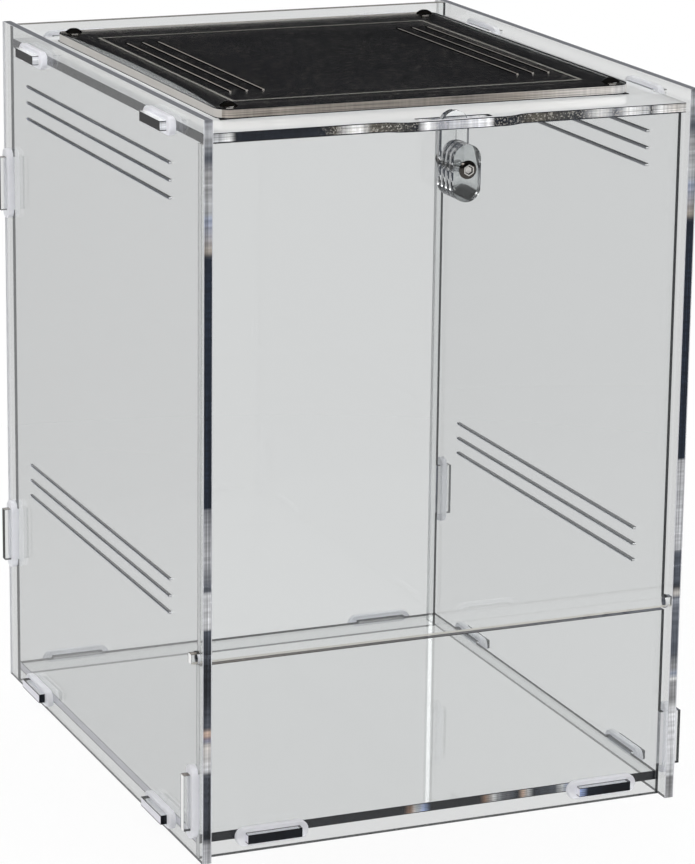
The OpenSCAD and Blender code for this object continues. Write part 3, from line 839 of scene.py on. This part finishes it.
def latch_sheet(node, bore_r):
    """A clear stadium-shaped sheet round the latch bolt, with its arrises broken and a hair of
    air to its neighbours."""
    low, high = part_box(node)
    bolt_low, bolt_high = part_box("latch_bolt")
    axis = (bolt_low + bolt_high) / 2
    half = (high.x - low.x) / 2
    top, bottom = high.z - half - axis.z, low.z + half - axis.z
    air, broken = 0.03 * MM, 0.15 * MM

    def reach(angle, inset):
        r = half - inset
        x, z = math.cos(angle), math.sin(angle)
        straight = r / max(abs(x), 1e-9)
        if bottom <= straight * z <= top:
            return straight
        middle = top if z > 0 else bottom
        return middle * z + math.sqrt(max(0.0, r * r - (middle * x) ** 2))

    def ring(radius_at, y):
        points = []
        for i in range(128):
            angle = math.tau * i / 128
            r = radius_at(angle)
            points.append(Vector((axis.x + r * math.cos(angle), y, axis.z + r * math.sin(angle))))
        return points

    def outline(inset, y):
        return ring(lambda angle: reach(angle, inset), y)

    def bore(radius, y):
        return ring(lambda angle: radius, y)

    front, back = low.y + air, high.y - air
    rings = [bore(bore_r + broken / 2, front), outline(broken, front),
             outline(broken * 0.3, front + broken * 0.3), outline(0.0, front + broken),
             outline(0.0, back - broken), outline(broken * 0.3, back - broken * 0.3),
             outline(broken, back), bore(bore_r + broken / 2, back),
             bore(bore_r, back - broken / 2), bore(bore_r, front + broken / 2)]
    rings.append(rings[0])
    return tube(node + "_clear", rings)


def shank(node, axis, head_h, head_sign):
    """Place of a fastener from its node's box: the underside of its head and its length."""
    low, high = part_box(node)
    middle = (low + high) / 2
    end, tip = (high, low) if head_sign > 0 else (low, high)
    middle[axis] = end[axis] - head_sign * head_h
    return middle, abs(middle[axis] - tip[axis])


class TERRARIUM_OT_sheets(bpy.types.Operator):
    """Give the clear sheets their acrylic"""

    bl_idname = "terrarium.sheets"
    bl_label = "Clear sheets"

    def execute(self, context):
        looks = context.scene.terrarium_looks
        for name, settings in SHEETS.items():
            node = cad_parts[name]
            node.data.materials.clear()
            node.data.materials.append(acrylic_cast_laser_cut(looks, name, **settings))
        return {"FINISHED"}


class TERRARIUM_OT_bands(bpy.types.Operator):
    """Make the silicone bands round the tabs"""

    bl_idname = "terrarium.bands"
    bl_label = "Silicone bands"

    def execute(self, context):
        looks = context.scene.terrarium_looks
        material = silicone_translucent(looks)
        for node in BANDS:
            piece_from_mesh("silicone_" + node, soft_band(node, looks), material, "frame",
                            "silicone", node)
        return {"FINISHED"}


class TERRARIUM_OT_vent_mesh(bpy.types.Operator):
    """Make the vent mesh, cut by hand so that its sides bow in"""

    bl_idname = "terrarium.vent_mesh"
    bl_label = "Vent mesh"

    def execute(self, context):
        looks = context.scene.terrarium_looks
        piece_from_mesh("vent_mesh_woven", bowed_mesh("vent_mesh"), wire_mesh_black(looks),
                        "frame", "black_mesh", "vent_mesh")
        return {"FINISHED"}


class TERRARIUM_OT_latch_sheets(bpy.types.Operator):
    """Make the latch plate and the knob's three layers"""

    bl_idname = "terrarium.latch_sheets"
    bl_label = "Latch plate and knob"

    def execute(self, context):
        material = acrylic_polished(context.scene.terrarium_looks)
        for node in LATCH_SHEETS:
            piece_from_mesh(node + "_clear", latch_sheet(node, LATCH_BORE_RADIUS), material,
                            "latch", "clear_acrylic", node)
        return {"FINISHED"}


class TERRARIUM_OT_fasteners(bpy.types.Operator):
    """Make the cover's screws, the latch bolt and its cap nut"""

    bl_idname = "terrarium.fasteners"
    bl_label = "Screws, bolt and nut"

    def execute(self, context):
        looks = context.scene.terrarium_looks
        steel = steel_polished(looks)
        pitch = looks.thread_pitch
        low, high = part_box("cover_screws")
        inset = HEAD_WIDTH / 2
        seat_z = high.z - HEAD_HEIGHT
        parts = []
        for x in (low.x + inset, high.x - inset):
            # The sockets on the left stopped at another angle than those on the right.
            turn = Matrix.Rotation(x * 40, 4, "Z")
            for y in (low.y + inset, high.y - inset):
                rings = button_screw_rings(HEAD_WIDTH, HEAD_HEIGHT, SCREW_SOCKET, SCREW_RING,
                                           SHANK_WIDTH, seat_z - low.z, pitch)
                parts.append(placed(rings, Vector((x, y, seat_z)), turn))
        piece_from_mesh("cover_screws_steel", joined("cover_screws", parts), steel, "frame",
                        "polished_steel", "cover_screws")
        seat, length = shank("latch_bolt", Y, HEAD_HEIGHT, -1)
        rings = button_screw_rings(HEAD_WIDTH, HEAD_HEIGHT, BOLT_SOCKET, BOLT_RING, SHANK_WIDTH,
                                   length, pitch)
        rings = placed(rings, seat, Matrix.Rotation(math.radians(90), 4, "X"))
        piece_from_mesh("latch_bolt_steel", joined("latch_bolt", [rings]), steel, "door",
                        "polished_steel", "latch_bolt")
        low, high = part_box("latch_cap_nut")
        seat = (low + high) / 2
        seat.y = low.y
        rings = cap_nut_rings(high.z - low.z, high.y - low.y, NUT_BORE, NUT_BORE_DEPTH)
        turn = Matrix.Rotation(math.radians(-90), 4, "X")
        piece_from_mesh("latch_cap_nut_steel", joined("latch_cap_nut", [placed(rings, seat, turn)]),
                        steel, "door", "polished_steel", "latch_cap_nut")
        return {"FINISHED"}


def soft_box(name, where, target, width, height, power):
    """A soft rectangular studio light aimed at a point."""
    lamp = bpy.data.lights.new(name, "AREA")
    lamp.shape = "RECTANGLE"
    lamp.size = width
    lamp.size_y = height
    lamp.energy = power
    holder = bpy.data.objects.new(name, lamp)
    holder.location = where
    holder.rotation_mode = "QUATERNION"
    holder.rotation_quaternion = (Vector(target) - Vector(where)).to_track_quat("-Z", "Y")
    bpy.context.scene.collection.objects.link(holder)
    return holder


class TERRARIUM_OT_stage(bpy.types.Operator):
    """Make the floor, the light and the camera"""

    bl_idname = "terrarium.stage"
    bl_label = "Stage"

    def execute(self, context):
        scene = context.scene
        stage = scene.terrarium_stage
        scene.view_settings.view_transform = "Standard"
        # A view through the knob crosses nine sheets, with reflections inside each.
        scene.cycles.max_bounces = 32
        scene.cycles.glossy_bounces = 12
        scene.cycles.transmission_bounces = 28
        scene.cycles.transparent_max_bounces = 24
        scene.world = studio_world(stage)

        plane = bmesh.new()
        bmesh.ops.create_grid(plane, x_segments=1, y_segments=1, size=6.0)
        mesh = bpy.data.meshes.new("floor")
        plane.to_mesh(mesh)
        plane.free()
        floor = bpy.data.objects.new("floor", mesh)
        floor.location.z = CAD_BOX[0].z - 0.05 * MM
        floor.data.materials.append(floor_pale(stage))
        scene.collection.objects.link(floor)

        # A dark flag all round above the roof, which only glossy faces see, keeps them dark.
        flags = bmesh.new()
        bmesh.ops.create_cone(flags, segments=48, radius1=FLAG_RADIUS, radius2=FLAG_RADIUS,
                              depth=FLAG_DEPTH)
        mesh = bpy.data.meshes.new("flag")
        flags.to_mesh(mesh)
        flags.free()
        flag = bpy.data.objects.new("flag", mesh)
        flag.location.z = FLAG_HEIGHT
        flag.data.materials.append(flag_black())
        flag.visible_camera = False
        flag.visible_diffuse = False
        flag.visible_shadow = False
        scene.collection.objects.link(flag)

        middle = (CAD_BOX[0] + CAD_BOX[1]) / 2
        soft_box("key", (-1.1, -1.0, 1.7), middle, 0.9, 0.9, 14)
        soft_box("fill", (1.5, -0.7, 1.0), middle, 0.8, 1.2, 7)
        top = soft_box("top", (0.2, 0.5, 1.9), middle, 1.0, 0.7, 9)
        top.visible_glossy = False
        # The gap between two backdrops, a bright slit that the floor panel mirrors.
        soft_box("slit", (0.663, 1.336, 0.53), (0.1, -0.1, 0.53), 0.0045, 0.26, 0.0075)

        camera = bpy.data.cameras.new("camera")
        camera.lens = stage.lens
        camera.sensor_width = 36
        holder = bpy.data.objects.new("camera", camera)
        scene.collection.objects.link(holder)
        azimuth, elevation = math.radians(stage.azimuth), math.radians(stage.elevation)
        back = Vector((math.sin(azimuth) * math.cos(elevation),
                       -math.cos(azimuth) * math.cos(elevation), math.sin(elevation)))
        right = Vector((0, 0, 1)).cross(back).normalized()
        up = back.cross(right)
        turn = Matrix((right, up, back)).transposed()
        turn = turn @ Matrix.Rotation(math.radians(stage.roll), 3, "Z")
        holder.matrix_world = Matrix.Translation(Vector(stage.eye)) @ turn.to_4x4()
        scene.camera = holder
        return {"FINISHED"}


class TERRARIUM_PT_panel(bpy.types.Panel):
    """Shows the terrarium's settings and the buttons that make its pieces in the sidebar"""

    bl_label = "Terrarium"
    bl_idname = "TERRARIUM_PT_panel"
    bl_space_type = "VIEW_3D"
    bl_region_type = "UI"
    bl_category = "Terrarium"

    def draw(self, context):
        for group in (context.scene.terrarium_looks, context.scene.terrarium_stage):
            for name in group.bl_rna.properties.keys():
                if name not in ("rna_type", "name"):
                    self.layout.prop(group, name)
        for operator in OPERATORS:
            self.layout.operator(operator.bl_idname)


OPERATORS = [TERRARIUM_OT_sheets, TERRARIUM_OT_latch_sheets, TERRARIUM_OT_bands,
             TERRARIUM_OT_vent_mesh, TERRARIUM_OT_fasteners, TERRARIUM_OT_stage]
CLASSES = [TerrariumLooks, TerrariumStage, *OPERATORS, TERRARIUM_PT_panel]


def register():
    """Adds the classes and their settings to Blender."""
    for cls in CLASSES:
        bpy.utils.register_class(cls)
    bpy.types.Scene.terrarium_looks = PointerProperty(type=TerrariumLooks)
    bpy.types.Scene.terrarium_stage = PointerProperty(type=TerrariumStage)


def unregister():
    """Takes the settings and the classes out again."""
    del bpy.types.Scene.terrarium_stage
    del bpy.types.Scene.terrarium_looks
    for cls in reversed(CLASSES):
        bpy.utils.unregister_class(cls)


def main():
    """Registers the add-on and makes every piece."""
    register()
    for operator in OPERATORS:
        group, name = operator.bl_idname.split(".")
        getattr(getattr(bpy.ops, group), name)()
    bpy.context.view_layer.update()


if __name__ == "__main__":
    main()
